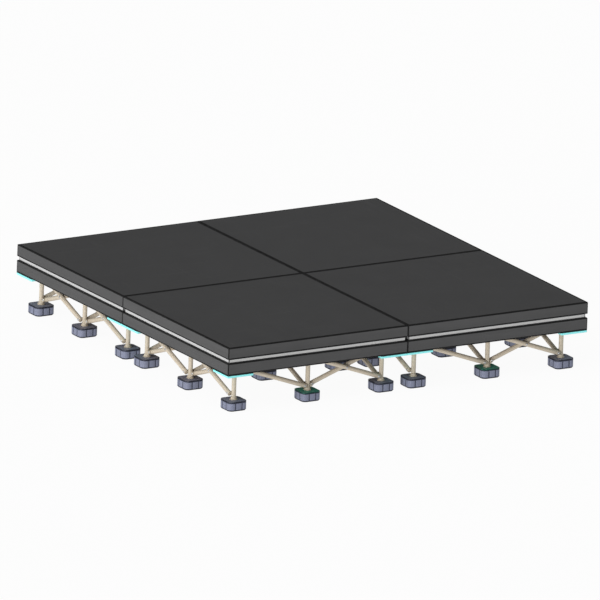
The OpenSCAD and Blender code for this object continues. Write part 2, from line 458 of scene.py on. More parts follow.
class Wiring:
    """Adds nodes to a node tree and links them."""

    def __init__(self, tree: Tree) -> None:
        """Starts on an empty tree."""
        self.tree = tree
        tree.nodes.clear()

    def node(self, kind: str, inputs: dict[Any, Any] | None = None, **settings: Any) -> bpy.types.Node:
        """Adds a node.

        Args:
            kind: The node's type.
            inputs: What goes into its sockets, by name or number: a socket is linked and a value is set.
            settings: The node's own settings.

        Returns:
            The new node.
        """
        made = self.tree.nodes.new(kind)
        for name, value in settings.items():
            setattr(made, name, value)
        for key, value in (inputs or {}).items():
            if isinstance(value, bpy.types.NodeSocket):
                self.tree.links.new(value, made.inputs[key])
            else:
                made.inputs[key].default_value = value
        return made

    def maths(self, operation: str, first: Any, second: Any = 0.0) -> Socket:
        """Adds a Math node and returns its result."""
        return self.node("ShaderNodeMath", {0: first, 1: second}, operation=operation).outputs[0]

    def scaled(self, vector: Socket, by: Any) -> Socket:
        """Multiplies a vector by another one and returns the result."""
        return self.node("ShaderNodeVectorMath", {0: vector, 1: by}, operation="MULTIPLY").outputs[0]

    def spread(self, value: Socket, low: Any, high: Any, start: float = 0.3, end: float = 0.7) -> Socket:
        """Maps what lies from start to end, the middle of a noise, to low and high and returns the result."""
        sockets = {"Value": value, "From Min": start, "From Max": end, "To Min": low, "To Max": high}
        return self.node("ShaderNodeMapRange", sockets).outputs["Result"]

    def blend(self, factor: Any, first: Any, second: Any) -> Socket:
        """Mixes two colours and returns the result."""
        return self.node("ShaderNodeMix", {0: factor, 6: first, 7: second}, data_type="RGBA").outputs[2]

    def noise(self, vector: Socket, scale: Any, detail: float) -> Socket:
        """Adds a noise and returns its value."""
        sockets = {"Vector": vector, "Scale": scale, "Detail": detail}
        return self.node("ShaderNodeTexNoise", sockets).outputs[0]

    def attribute(self, name: str, output: str) -> Socket:
        """Reads a mesh attribute."""
        return self.node("ShaderNodeAttribute", attribute_name=name).outputs[output]


class Group(Wiring):
    """A node group that changes a colour over a surface, with the inputs Colour, Amount and Scale."""

    def __init__(
        self, name: str, outputs: Sequence[str] = ("Colour", "Height"), more: Sequence[str] = ()
    ) -> None:
        """Starts the group.

        Args:
            name: Its name.
            outputs: The names of what it puts out.
            more: The names of its other inputs.
        """
        tree = bpy.data.node_groups.new(name, "ShaderNodeTree")
        for side, labels in (("INPUT", ("Colour", "Amount", "Scale", *more)), ("OUTPUT", outputs)):
            for label in labels:
                kind = "NodeSocketColor" if "Colour" in label else "NodeSocketFloat"
                tree.interface.new_socket(name=label, in_out=side, socket_type=kind)
        super().__init__(tree)
        self.outputs = outputs
        self.given = self.node("NodeGroupInput").outputs
        self.place = self.attribute(GRAIN, "Vector")

    def plain(self, detail: float) -> Socket:
        """A noise of the group's scale."""
        return self.noise(self.place, self.given["Scale"], detail)

    def streaks(self, stretch: Triple, detail: float) -> Socket:
        """A noise of the group's scale, drawn out along the member."""
        return self.noise(self.scaled(self.place, stretch), self.given["Scale"], detail)

    def varied(self, value: Socket) -> Socket:
        """Spreads a noise by the group's amount to either side of one."""
        amount = self.given["Amount"]
        return self.spread(value, self.maths("SUBTRACT", 1.0, amount), self.maths("ADD", 1.0, amount))

    def weighed(self, mask: Socket) -> Socket:
        """Multiplies a mask by the group's amount."""
        return self.maths("MULTIPLY", mask, self.given["Amount"])

    def shaded(self, by: Socket, other: Socket) -> Tree:
        """Puts out the colour times a varying number, and a second value, and returns the tree."""
        sockets = {0: self.given["Colour"], "Scale": by}
        return self.put_out(self.node("ShaderNodeVectorMath", sockets, operation="SCALE").outputs[0], other)

    def put_out(self, *sockets: Socket) -> Tree:
        """Puts out these sockets, in the order of the group's outputs, and returns the tree."""
        self.node("NodeGroupOutput", dict(zip(self.outputs, sockets)))
        return self.tree


class Effects:
    """The node groups that the finishes share, each built once."""

    # A stretch is along the three axes of the member, a range is the part of a noise that shows, and
    # a shade is what it does to the colour
    SPECK_SCALE = 2.3
    SPECK_RANGE = (0.68, 0.74)
    PEEL_SHADE = (0.985, 1.015)
    PEBBLE_RANGE = (0.1, 0.6)
    PEBBLE_SHADE = (0.97, 1.03)
    # Stretch and range of the scuffs along and across
    SCUFFS = (((3.0, 46.0, 1.0), (0.62, 0.8)), ((38.0, 2.4, 1.0), (0.64, 0.8)))
    FIGURE_STRETCH = (0.9, 22.0, 22.0)
    PORE_STRETCH = (9.0, 420.0, 420.0)
    PORE_RANGE = (0.6, 0.75)
    PORE_DEPTH = 0.5
    LINE_STRETCH = (1.5, 700.0, 700.0)
    EDGE_WEAR = (0.9, 1.0)

    def __init__(self) -> None:
        """Builds every group."""
        self.textures = {
            Texture.MOULDED: self.moulded(),
            Texture.POWDER: self.powder(),
            Texture.PEBBLED: self.pebbled(),
            Texture.TIMBER: self.timber(),
            Texture.BRUSHED: self.brushed(),
        }
        self.mottle = self.mottled()
        self.edges = self.edged()

    def moulded(self) -> Tree:
        """Fine spark-eroded grain of moulded plastic and rubber.

        Returns:
            The node group.
        """
        group = Group("moulded_grain")
        fine = group.plain(detail=3.0)
        return group.shaded(group.varied(fine), fine)

    def powder(self) -> Tree:
        """Orange peel of powder coat, with fine dark specks.

        Returns:
            The node group.
        """
        group = Group("powder_coat")
        peel = group.plain(detail=1.0)
        speck = group.noise(group.place, group.maths("MULTIPLY", group.given["Scale"], self.SPECK_SCALE), 0.0)
        dark = group.weighed(group.spread(speck, 0.0, 1.0, *self.SPECK_RANGE))
        return group.shaded(group.maths("SUBTRACT", group.spread(peel, *self.PEEL_SHADE), dark), peel)

    def pebbled(self) -> Tree:
        """Pressed pebbles of a grip film, with faint scuffs along and across.

        Returns:
            The node group.
        """
        group = Group("grip_film")
        cell = {"Vector": group.place, "Scale": group.given["Scale"]}
        distance = group.node("ShaderNodeTexVoronoi", cell, feature="F1").outputs["Distance"]
        pebble = group.spread(distance, 1.0, 0.0, *self.PEBBLE_RANGE)
        scuffs = [
            group.spread(group.noise(group.scaled(group.place, stretch), 1.0, 4.0), 0.0, 1.0, *shown)
            for stretch, shown in self.SCUFFS
        ]
        worn = group.weighed(group.maths("MAXIMUM", *scuffs))
        shade = group.spread(pebble, *self.PEBBLE_SHADE, 0.0, 1.0)
        return group.shaded(group.maths("ADD", shade, worn), pebble)

    def timber(self) -> Tree:
        """Grain of stained timber along the member, with fine pores.

        Returns:
            The node group.
        """
        group = Group("stained_timber")
        figure = group.streaks(self.FIGURE_STRETCH, detail=5.0)
        pores = group.streaks(self.PORE_STRETCH, detail=2.0)
        dark = group.weighed(group.spread(pores, 0.0, 1.0, *self.PORE_RANGE))
        height = group.maths("SUBTRACT", figure, group.maths("MULTIPLY", pores, self.PORE_DEPTH))
        return group.shaded(group.maths("SUBTRACT", group.varied(figure), dark), height)

    def brushed(self) -> Tree:
        """Fine lines of drawn or brushed metal along the member.

        Returns:
            The node group.
        """
        group = Group("brushed_metal")
        lines = group.streaks(self.LINE_STRETCH, detail=2.0)
        return group.shaded(group.varied(lines), lines)

    def mottled(self) -> Tree:
        """Broad, soft change of tone, as from handling and dust.

        Returns:
            The node group.
        """
        group = Group("handled_surface", ("Colour", "Value"))
        broad = group.plain(detail=4.0)
        return group.shaded(group.varied(broad), broad)

    def edged(self) -> Tree:
        """Colour and wear of the marked edges; on the channel strip, the marked bands are painted shade of
        its recess.

        Returns:
            The node group.
        """
        group = Group("finished_edges", ("Colour",), ("Edge Colour",))
        worn = group.spread(group.plain(detail=3.0), *self.EDGE_WEAR)
        mask = group.maths("MULTIPLY", group.weighed(group.attribute(EDGE, "Fac")), worn)
        return group.put_out(group.blend(mask, group.given["Colour"], group.given["Edge Colour"]))


@dataclass(frozen=True)
class Finish:
    """A surface finish. The colours are linear, the scales are per metre and the depths are in metres."""

    name: str
    slot: str | None
    colour: Rgb
    edge_colour: Rgb
    edge_amount: float
    texture: Texture
    texture_amount: float
    texture_scale: float
    depth: float
    roughness: float
    metallic: float = 0.0
    specular: float = 0.4
    mottle: float = 0.05
    mottle_scale: float = 9.0
    edge_scale: float = 60.0
    rough_spread: float = 0.06

    def material(self, effects: Effects) -> bpy.types.Material:
        """Builds the material.

        Args:
            effects: The shared node groups.

        Returns:
            The material.
        """
        made = bpy.data.materials.new(self.name)
        made.use_nodes = True
        made.diffuse_color = (*self.colour, 1.0)
        w = Wiring(made.node_tree)
        texture = w.node(
            "ShaderNodeGroup",
            {"Colour": (*self.colour, 1.0), "Amount": self.texture_amount, "Scale": self.texture_scale},
            node_tree=effects.textures[self.texture],
        )
        mottle = w.node(
            "ShaderNodeGroup",
            {"Colour": texture.outputs["Colour"], "Amount": self.mottle, "Scale": self.mottle_scale},
            node_tree=effects.mottle,
        )
        edges = w.node(
            "ShaderNodeGroup",
            {
                "Colour": mottle.outputs["Colour"],
                "Edge Colour": (*self.edge_colour, 1.0),
                "Amount": self.edge_amount,
                "Scale": self.edge_scale,
            },
            node_tree=effects.edges,
        )
        smoother, rougher = self.roughness - self.rough_spread, self.roughness + self.rough_spread
        relief = {"Height": texture.outputs["Height"], "Distance": self.depth, "Strength": 1.0}
        shader = w.node(
            "ShaderNodeBsdfPrincipled",
            {
                "Base Color": edges.outputs["Colour"],
                "Roughness": w.spread(mottle.outputs["Value"], smoother, rougher),
                "Metallic": self.metallic,
                "Specular IOR Level": self.specular,
                "Normal": w.node("ShaderNodeBump", relief).outputs["Normal"],
            },
        )
        w.node("ShaderNodeOutputMaterial", {"Surface": shader.outputs[0]})
        return made


class Finishes:
    """All the finishes of the stage, and the material that each one gives."""

    GRIP_FILM = Finish(
        "grip_film", "deck_panel", (0.065, 0.065, 0.066), (0.004, 0.004, 0.004), 1.0,
        Texture.PEBBLED, 0.16, 260.0, 0.0003, 0.72, specular=0.08, mottle=0.06, mottle_scale=5.0,
    )
    RAIL_STAIN = Finish(
        "black_stained_timber", "edge_rail", (0.078, 0.078, 0.079), (0.006, 0.006, 0.006), 1.0,
        Texture.TIMBER, 0.07, 1.0, 0.0002, 0.62, specular=0.12, mottle=0.05, mottle_scale=6.0,
    )
    # The strip's edge colour is painted shade of the recess, on the marked bands along its rims
    STRIP = Finish(
        "satin_aluminium", None, (0.57, 0.57, 0.57), (0.012, 0.012, 0.012), 1.0,
        Texture.BRUSHED, 0.05, 1.0, 0.00002, 0.42, metallic=0.25, specular=0.5, mottle=0.02,
    )
    TAN_COAT = Finish(
        "tan_powder_coat", "tan_metal", (0.56, 0.485, 0.38), (0.30, 0.25, 0.18), 0.75,
        Texture.POWDER, 0.25, 420.0, 0.00005, 0.5, mottle=0.04, mottle_scale=14.0,
    )
    FOOT_PLASTIC = Finish(
        "blue_grey_moulding", "foot_plastic", (0.19, 0.205, 0.286), (0.02, 0.024, 0.045), 1.0,
        Texture.MOULDED, 0.05, 1500.0, 0.00006, 0.55, mottle=0.05, mottle_scale=16.0,
    )
    SLATE_PLASTIC = Finish(
        "slate_moulding", "cap_plate", (0.19, 0.195, 0.255), (0.02, 0.022, 0.04), 0.95,
        Texture.MOULDED, 0.06, 1300.0, 0.00006, 0.5, mottle=0.07, mottle_scale=18.0,
    )
    TEAL_PLASTIC = Finish(
        "teal_moulding", "cap_plate", (0.035, 0.26, 0.195), (0.008, 0.06, 0.05), 0.9,
        Texture.MOULDED, 0.06, 1300.0, 0.00006, 0.5, mottle=0.06, mottle_scale=18.0,
    )
    RUBBER = Finish(
        "black_rubber", "foot_plastic", (0.02, 0.02, 0.021), (0.008, 0.008, 0.008), 0.5,
        Texture.MOULDED, 0.12, 900.0, 0.0001, 0.8, specular=0.25, mottle=0.12, mottle_scale=20.0,
    )
    TURQUOISE_PLASTIC = Finish(
        "turquoise_moulding", "corner_plastic", (0.30, 0.905, 0.92), (0.20, 0.72, 0.70), 0.5,
        Texture.MOULDED, 0.04, 1300.0, 0.00005, 0.45, mottle=0.03, mottle_scale=15.0,
    )
    ZINC = Finish(
        "zinc_plated_steel", "rivet_steel", (0.52, 0.52, 0.53), (0.3, 0.3, 0.31), 0.4,
        Texture.BRUSHED, 0.08, 1.0, 0.00002, 0.38, metallic=0.9, mottle=0.1, mottle_scale=120.0,
    )

    def __init__(self, effects: Effects) -> None:
        """Keeps the shared node groups for the materials."""
        self.effects = effects
        self.made: dict[str, bpy.types.Material] = {}

    def material(self, finish: Finish) -> bpy.types.Material:
        """Gives a finish's material, built the first time it is asked for.

        Args:
            finish: The finish.

        Returns:
            Its material.
        """
        if finish.name not in self.made:
            self.made[finish.name] = finish.material(self.effects)
        return self.made[finish.name]


Part = tuple[Shape, Finish]


def in_scene(name: str, data: bpy.types.ID) -> bpy.types.Object:
    """Makes an object and puts it in the scene.

    Args:
        name: The object's name.
        data: Its mesh, lamp or camera.

    Returns:
        The object.
    """
    made = bpy.data.objects.new(name, data)
    bpy.context.scene.collection.objects.link(made)
    return made


def on_floor(node: str) -> Vector:
    """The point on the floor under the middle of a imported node."""
    low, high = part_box(node)
    return Vector(((low.x + high.x) / 2, (low.y + high.y) / 2, 0.0))


@dataclass
class Workshop:
    """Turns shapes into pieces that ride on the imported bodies."""

    finishes: Finishes
    count: int = 0

    def piece(self, name: str, parts: Sequence[Part], *nodes: str) -> None:
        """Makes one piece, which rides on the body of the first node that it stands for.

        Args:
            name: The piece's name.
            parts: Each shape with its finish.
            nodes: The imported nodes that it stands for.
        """
        whole = Shape.joined(shape for shape, _ in parts)
        mesh = bpy.data.meshes.new(name)
        mesh.from_pydata(whole.points.tolist(), [], whole.faces)
        order = list(dict.fromkeys(finish for _, finish in parts))
        for finish in order:
            mesh.materials.append(self.finishes.material(finish))
        indices = [order.index(finish) for shape, finish in parts for _ in shape.faces]
        mesh.polygons.foreach_set("material_index", indices)
        mesh.polygons.foreach_set("use_smooth", [True] * len(whole.faces))
        marks = mesh.attributes.new(EDGE, "FLOAT", "FACE")
        marks.data.foreach_set("value", np.array(whole.marks, np.float32))
        grain = mesh.attributes.new(GRAIN, "FLOAT_VECTOR", "POINT")
        grain.data.foreach_set("vector", whole.grain.astype(np.float32).ravel())
        mesh.set_sharp_from_angle(angle=SMOOTH_ANGLE)
        mesh.update()
        made = in_scene(name, mesh)
        body = frame["nodes"][nodes[0]]["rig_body"]
        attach(made, body)
        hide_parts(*nodes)
        self.count += 1


# The riser: legs, top hubs and braces


@dataclass(frozen=True)
class Station:
    """One of the nine places of a leg under a deck."""

    column: int
    row: int

    @property
    def key(self) -> str:
        """Name of the place, such as b2 for the middle one."""
        return "abc"[self.column] + "123"[self.row]

    def joined(self, way: Way) -> bool:
        """Whether there is a neighbour that way."""
        step = way.value
        return 0 <= self.column + step[0] <= 2 and 0 <= self.row + step[1] <= 2

    def starts(self, way: Way) -> bool:
        """Whether a brace starts at this foot that way. The bay at the front left has a single one."""
        return self.joined(way) and not (self.key == "a1" and way is Way.RIGHT)

    def ends(self, way: Way) -> bool:
        """Whether a brace from the neighbour that way ends at this top hub."""
        return self.joined(way) and not (self.key == "b1" and way is Way.LEFT)


STATIONS = [Station(column, row) for column in range(3) for row in range(3)]


@dataclass(frozen=True)
class PivotSizes:
    """Where the braces turn, and how thick the joined pieces are."""

    out: float = 0.030
    low: float = 0.090
    high: float = 0.248
    span: float = 0.500
    gap: float = 0.001
    ear: float = 0.006
    tube: float = 0.0135

    @property
    def brace_axis(self) -> float:
        """Distance of a brace's axis from the plane between brace and ear."""
        return self.gap / 2 + self.tube

    @property
    def brace_out(self) -> float:
        """Distance of a brace's far side from the same plane."""
        return self.gap / 2 + 2 * self.tube

    @property
    def ear_out(self) -> float:
        """Distance of an ear's outer face from the same plane."""
        return self.gap / 2 + self.ear


@dataclass(frozen=True)
class Rivet:
    """A riveted joint with domed heads and a washer in the gap. The dome is in shares of the head's size."""

    radius: float = 0.004
    head_radius: float = 0.007
    head: float = 0.0025
    dome: tuple[Point, ...] = ((0.0, 1.0), (0.45, 0.93), (0.8, 0.62), (0.97, 0.22), (1.0, 0.0))
    play: float = 0.0003
    washer_radius: float = 0.0092
    washer: float = 0.0008
    washer_chamfer: float = 0.0002
    turns: int = 20

    def shape(self, y_low: float, y_high: float, x: float, z: float) -> Shape:
        """Builds the rivet along Y.

        Args:
            y_low: Its one outer face.
            y_high: Its other outer face.
            x: Where it is along X.
            z: Its height.

        Returns:
            The rivet with its washer.
        """
        length = y_high - y_low + 2 * self.play
        low = [(self.head_radius * share, -self.head * rise) for share, rise in self.dome]
        high = [(radius, length - height) for radius, height in reversed(low)]
        body = turned(low + [(self.radius, 0.0), (self.radius, length)] + high, self.turns)
        half, inner = self.washer / 2, self.radius + self.play
        ring = tube(self.washer_radius, inner, -half, half, self.washer_chamfer, self.turns)
        lie = Matrix.Rotation(QUARTER, 4, "X")
        places = (Matrix.Translation((x, y, z)) @ lie for y in (y_high + self.play, 0))
        return Shape.joined(shape.moved(place) for shape, place in zip((body, ring), places))


@dataclass(frozen=True)
class Foot:
    """The moulded foot block with its rubber sole and the cap plate.

    A groove's place is how far it is from the start of the round corner, in widths of a groove.
    """

    width: float = 0.125
    corner: float = 0.030
    corner_steps: int = 8
    sole: float = 0.004
    sole_inset: float = 0.004
    sole_steps: int = 6
    sole_rim: float = 0.001
    block_low: float = 0.0042
    block_high: float = 0.0518
    cap_low: float = 0.052
    cap_high: float = 0.057
    cap_rim: float = 0.0014
    cap_band: float = 0.0022
    spigot: float = 0.0113
    spigot_high: float = 0.075
    spigot_sunk: float = 0.001
    groove: float = 0.0070
    groove_depth: float = 0.0014
    groove_place: float = 1.5
    rim: float = 0.0022
    band: float = 0.0026

    def outline(self) -> Outline:
        """The block's outline, with a fine groove where each flat side meets a round corner.

        Returns:
            The outline.
        """
        made = Outline()
        half, arc = self.width / 2, self.corner
        side = half - arc
        near = side - self.groove_place * self.groove
        for turn in range(4):
            spin = Matrix.Rotation(QUARTER * turn, 2)

            def put(x: float, y: float, mark: float = 0.0) -> None:
                """Adds a point of this quarter."""
                made.add(*(spin @ Vector((x, y))), mark=mark)

            def groove(x: float, y: float, along: Vector) -> None:
                """Adds a groove across the outline at a point, whose outline runs along that way."""
                inward = Vector((-along.y, along.x))
                for shift, depth, mark in ((-0.5, 0.0, 1.0), (0.0, self.groove_depth, 1.0), (0.5, 0.0, 0.0)):
                    put(*(Vector((x, y)) + along * shift * self.groove + inward * depth), mark)

            put(half, 0.0)
            groove(half, near, Vector((0, 1)))
            for step in range(self.corner_steps + 1):
                put(*on_arc(side, side, arc, QUARTER * step / self.corner_steps))
            groove(near, half, Vector((-1, 0)))
        return made

    def block(self) -> Shape:
        """The moulded block."""
        return slab(self.outline(), self.block_low, self.block_high, self.rim, self.band)

    def tread(self) -> Shape:
        """The rubber sole."""
        width, corner = self.width - 2 * self.sole_inset, self.corner - self.sole_inset
        return slab(rectangle(width, width, corner, self.sole_steps), 0.0, self.sole, self.sole_rim, steps=2)

    def cap(self) -> Shape:
        """The cap plate on the block, with the spigot in the post's foot.

        Returns:
            The plate and the spigot.
        """
        outline = rectangle(self.width, self.width, self.corner, self.corner_steps)
        outline.marks = [0.0] * len(outline.marks)
        plate = slab(outline, self.cap_low, self.cap_high, self.cap_rim, self.cap_band, 2)
        return Shape.joined([plate, drum(self.spigot, self.cap_high - self.spigot_sunk, self.spigot_high)])


@dataclass(frozen=True)
class Leg:
    """A post with its plug, fixed in the knuckle on the foot. The weld's hollow is in shares of its size."""

    pivot: PivotSizes = PivotSizes()
    rivet: Rivet = Rivet()
    foot: Foot = Foot()
    base_gap: float = 0.0002
    post: float = 0.0135
    bore: float = 0.0115
    post_high: float = 0.2948
    plug_high: float = 0.298
    plug_brim: float = 0.003
    plug_length: float = 0.018
    plug_tip: float = 0.001
    plug_slope: float = 0.0015
    plug_play: float = 0.0002
    collar: float = 0.0168
    collar_high: float = 0.018
    flange: float = 0.023
    flange_high: float = 0.004
    flange_lap: float = 0.001
    ear_round: float = 0.010
    ear_half: float = 0.009
    ear_root: float = 0.0025
    ear_steps: int = 20
    ear_rim: float = 0.0008
    play: float = 0.0003
    weld: float = 0.0025
    weld_lap: float = 0.0005
    weld_hollow: Point = (0.4, 0.5)

    @property
    def base(self) -> float:
        """Height at which the post and the knuckle stand on the cap."""
        return self.foot.cap_high + self.base_gap

    def post_shape(self) -> Shape:
        """The tube of the post."""
        return tube(self.post, self.bore, self.base, self.post_high)

    def plug(self) -> Shape:
        """The plug in the top of the post, with a tapered brim.

        Returns:
            The plug.
        """
        high, flat = self.plug_high, self.plug_high - self.plug_brim
        low, inner = flat - self.plug_length, self.bore - self.plug_play
        profile = [
            (0, low),
            (inner - self.plug_tip, low),
            (inner, low + self.plug_tip),
            (inner, flat),
            (self.post, flat),
            (self.post - self.plug_slope, high),
            (0, high),
        ]
        return turned(profile, marks=(4,))

    def ear(self, root: float, pivot: float) -> Shape:
        """A slanted ear, lying flat.

        Args:
            root: Height at which its middle line leaves the post's axis.
            pivot: Height of its rivet.

        Returns:
            The ear, from inside the collar's wall to the arc about its rivet.
        """
        slope = math.atan2(pivot - root, self.pivot.out)
        inside, half = self.collar - self.ear_root, self.ear_half / math.cos(slope)
        middle = root + inside * math.tan(slope)
        reach = math.pi - math.asin(self.ear_half / self.ear_round)
        made = Outline()
        made.add(inside, middle - half)
        for step in range(self.ear_steps + 1):
            angle = slope + reach * (2 * step / self.ear_steps - 1)
            made.add(*on_arc(self.pivot.out, pivot, self.ear_round, angle))
        made.add(inside, middle + half)
        return slab(made, 0.0, self.pivot.ear, self.ear_rim, steps=2)

    def weld_ring(self, height: float, way: int) -> Shape:
        """The weld between the collar and a plate.

        Args:
            height: Height of the plate's face.
            way: 1 for a weld above that face and -1 for one below it.

        Returns:
            The weld.
        """
        lap, weld, (out, up) = self.weld_lap, self.weld, self.weld_hollow
        profile = [
            (self.collar - lap, height - way * lap),
            (self.collar + weld, height - way * lap),
            (self.collar + weld * out, height + way * weld * up),
            (self.collar - lap, height + way * weld),
        ]
        return turned(profile, ring=True)

    def knuckle(self, station: Station) -> Shape:
        """The knuckle on the foot.

        Args:
            station: Its place, which says what it holds.

        Returns:
            The collar, its flange, its weld and an ear for each brace that starts here.
        """
        base, face = self.base, self.base + self.flange_high
        shapes = [
            tube(self.collar, self.post + self.play, base, base + self.collar_high),
            tube(self.flange, self.collar - self.flange_lap, base, face),
            self.weld_ring(face, 1),
        ]
        ear = self.ear(base + self.ear_round, self.pivot.low)
        stand = upright(-self.pivot.ear_out, self.pivot.ear)
        shapes += [ear.moved(way.spin @ stand) for way in Way if station.starts(way)]
        return Shape.joined(shapes)

    def rivets(self, station: Station) -> Shape:
        """The rivets at the feet of the braces that start here."""
        one = self.rivet.shape(-self.pivot.ear_out, self.pivot.brace_out, self.pivot.out, self.pivot.low)
        return Shape.joined(one.moved(way.spin) for way in Way if station.starts(way))


@dataclass(frozen=True)
class TopHub:
    """The load plate with the socket over the post and the ears for the upper brace ends."""

    leg: Leg = Leg()
    plate: float = 0.040
    plate_low: float = 0.298
    plate_high: float = 0.308
    plate_rim: float = 0.0012
    plate_turns: int = 48
    socket_low: float = 0.260
    lap: float = 0.001
    locator: float = 0.012
    locator_high: float = 0.328
    locator_rim: float = 0.002

    def shape(self, station: Station) -> Shape:
        """Builds the hub.

        Args:
            station: Its place, which says what it holds.

        Returns:
            The load plate, the socket, its weld, the ears and, on the middle hub, the locating spigot.
        """
        leg, pivot = self.leg, self.leg.pivot
        shapes = [
            drum(self.plate, self.plate_low, self.plate_high, self.plate_rim, self.plate_turns),
            tube(leg.collar, leg.post + leg.play, self.socket_low, self.plate_low + self.lap),
            leg.weld_ring(self.plate_low, -1),
        ]
        ear = leg.ear((self.socket_low + self.plate_low) / 2, pivot.high)
        stand = upright(pivot.gap / 2, pivot.ear)
        shapes += [ear.moved(way.spin @ stand) for way in Way if station.ends(way)]
        if station.key == "b2":
            shapes.append(drum(self.locator, self.plate_high - self.lap, self.locator_high, self.locator_rim))
        return Shape.joined(shapes)

    def rivets(self, station: Station) -> Shape:
        """The rivets at the upper ends of the braces that end here.

        Args:
            station: The hub's place.

        Returns:
            The rivets.
        """
        pivot = self.leg.pivot
        one = self.leg.rivet.shape(-pivot.brace_out, pivot.ear_out, pivot.out, pivot.high)
        return Shape.joined(one.moved(way.spin) for way in Way if station.ends(way))


@dataclass(frozen=True)
class Brace:
    """A round tube with closed ends, from the foot of a leg up to the top hub of its neighbour."""

    pivot: PivotSizes = PivotSizes()
    rivet: Rivet = Rivet()
    end: float = 0.012
    rim: float = 0.0012

    @property
    def run(self) -> float:
        """Length of the brace's run between its pivots."""
        return self.pivot.span - 2 * self.pivot.out

    @property
    def rise(self) -> float:
        """Height between its pivots."""
        return self.pivot.high - self.pivot.low

    def bar(self, way: Way) -> Shape:
        """The tube that leaves the leg that way.

        Args:
            way: The way.

        Returns:
            The tube, in its place beside a leg at the origin.
        """
        bar = drum(self.pivot.tube, -self.end, math.hypot(self.run, self.rise) + self.end, self.rim)
        tilt = Matrix.Rotation(math.atan2(self.run, self.rise), 4, "Y")
        place = Matrix.Translation((self.pivot.out, self.pivot.brace_axis, self.pivot.low))
        return bar.moved(way.spin @ place @ tilt)

    def crossing(self, way: Way) -> Shape:
        """The rivet where this brace crosses the other one of its bay."""
        out, middle = self.pivot.brace_out, (self.pivot.low + self.pivot.high) / 2
        return self.rivet.shape(-out, out, self.pivot.span / 2, middle).moved(way.spin)


@dataclass
class Risers:
    """The folding riser under the front left deck and the three risers that stay up.

    The slides hold a step of the grain along each axis, and after how many steps it starts again.
    """

    shop: Workshop
    leg: Leg = Leg()
    hub: TopHub = TopHub()
    brace: Brace = Brace()
    slides: tuple[tuple[float, int], ...] = ((0.61, 7), (0.37, 11), (0.23, 5))

    def centre(self, station: Station) -> Vector:
        """Where a leg of the folding riser stands on the floor."""
        return on_floor(f"leg_{station.key}")

    def cap_finish(self, station: Station) -> Finish:
        """The middle foot of the front row has a teal cap."""
        return Finishes.TEAL_PLASTIC if station.key == "b1" else Finishes.SLATE_PLASTIC

    def slide(self, index: int) -> tuple[float, ...]:
        """How far the grain of a copy slides, so that no two copies are marked alike."""
        return tuple(step * (index % count) for step, count in self.slides)

    def fold(self) -> None:
        """Makes the pieces of the folding riser."""
        for index, station in enumerate(STATIONS):
            key, foot = station.key, self.leg.foot
            leg, hub = f"leg_{key}", f"top_hub_{key}"
            place, shift = Matrix.Translation(self.centre(station)), self.slide(index)
            metal = Shape.joined([self.leg.post_shape(), self.leg.knuckle(station)])
            cap, plug = (foot.cap(), self.cap_finish(station)), (self.leg.plug(), Finishes.SLATE_PLASTIC)
            for node, part, *shapes in (
                (leg, "foot", (foot.block(), Finishes.FOOT_PLASTIC), (foot.tread(), Finishes.RUBBER)),
                (leg, "caps", cap, plug),
                (leg, "post", (metal, Finishes.TAN_COAT)),
                (leg, "rivets", (self.leg.rivets(station), Finishes.ZINC)),
                (hub, "plate", (self.hub.shape(station), Finishes.TAN_COAT)),
                (hub, "rivets", (self.hub.rivets(station), Finishes.ZINC)),
            ):
                parts = [(shape.moved(place, shift), finish) for shape, finish in shapes]
                self.shop.piece(f"{node}_{part}", parts, node)
            for way in filter(station.starts, Way):
                name, slide = f"brace_{key}_{way.name.lower()}", self.slide(index * len(Way) + way.turns)
                bar = self.brace.bar(way).moved(place, slide)
                self.shop.piece(f"{name}_bar", [(bar, Finishes.TAN_COAT)], name)
                if way in (Way.RIGHT, Way.BACK):
                    pin = self.brace.crossing(way).moved(place, slide)
                    self.shop.piece(f"{name}_rivet", [(pin, Finishes.ZINC)], name)
            LOG.info("leg %s: post, foot, top hub and its braces", key)

    def stand(self, origins: Sequence[Vector]) -> None:
        """Makes the pieces of the risers that stay up.

        Args:
            origins: How far each of these risers stands from the folding one.
        """
        groups: dict[str, list[Part]] = {
            name: [] for name in ("posts", "feet", "foot_caps", "top_hubs", "braces", "rivets")
        }
        stands = [(station, self.centre(station) + origin) for origin in origins for station in STATIONS]
        for index, (station, centre) in enumerate(stands):
            place, shift = Matrix.Translation(centre), self.slide(index + len(STATIONS))
            metal = Shape.joined([self.leg.post_shape(), self.leg.knuckle(station)])
            rivets = [self.leg.rivets(station), self.hub.rivets(station)]
            bars = [self.brace.bar(way) for way in Way if station.starts(way)]
            rivets += [self.brace.crossing(way) for way in (Way.RIGHT, Way.BACK) if station.starts(way)]
            for group, shape, finish in (
                ("posts", metal, Finishes.TAN_COAT),
                ("posts", self.leg.plug(), Finishes.SLATE_PLASTIC),
                ("feet", self.leg.foot.block(), Finishes.FOOT_PLASTIC),
                ("feet", self.leg.foot.tread(), Finishes.RUBBER),
                ("foot_caps", self.leg.foot.cap(), self.cap_finish(station)),
                ("top_hubs", self.hub.shape(station), Finishes.TAN_COAT),
                ("braces", Shape.joined(bars), Finishes.TAN_COAT),
                ("rivets", Shape.joined(rivets), Finishes.ZINC),
            ):
                groups[group].append((shape.moved(place, shift), finish))
        for group, parts in groups.items():
            nodes = ["standing_" + group] + (["standing_knuckles"] if group == "posts" else [])
            self.shop.piece(f"standing_{group}_dressed", parts, *nodes)
            LOG.info("standing risers: %s", group)


# The decks


@dataclass(frozen=True)
class Slide:
    """How far the grain of a member slides, so that no two members are marked alike."""

    per_turn: Triple = (0.0, 0.0, 0.0)
    per_deck: Triple = (0.0, 0.0, 0.0)

    def at(self, turns: int, seed: int = 0) -> tuple[float, ...]:
        """The slide of the member after so many turns, in the deck of that seed."""
        return tuple(turn * turns + deck * seed for turn, deck in zip(self.per_turn, self.per_deck))


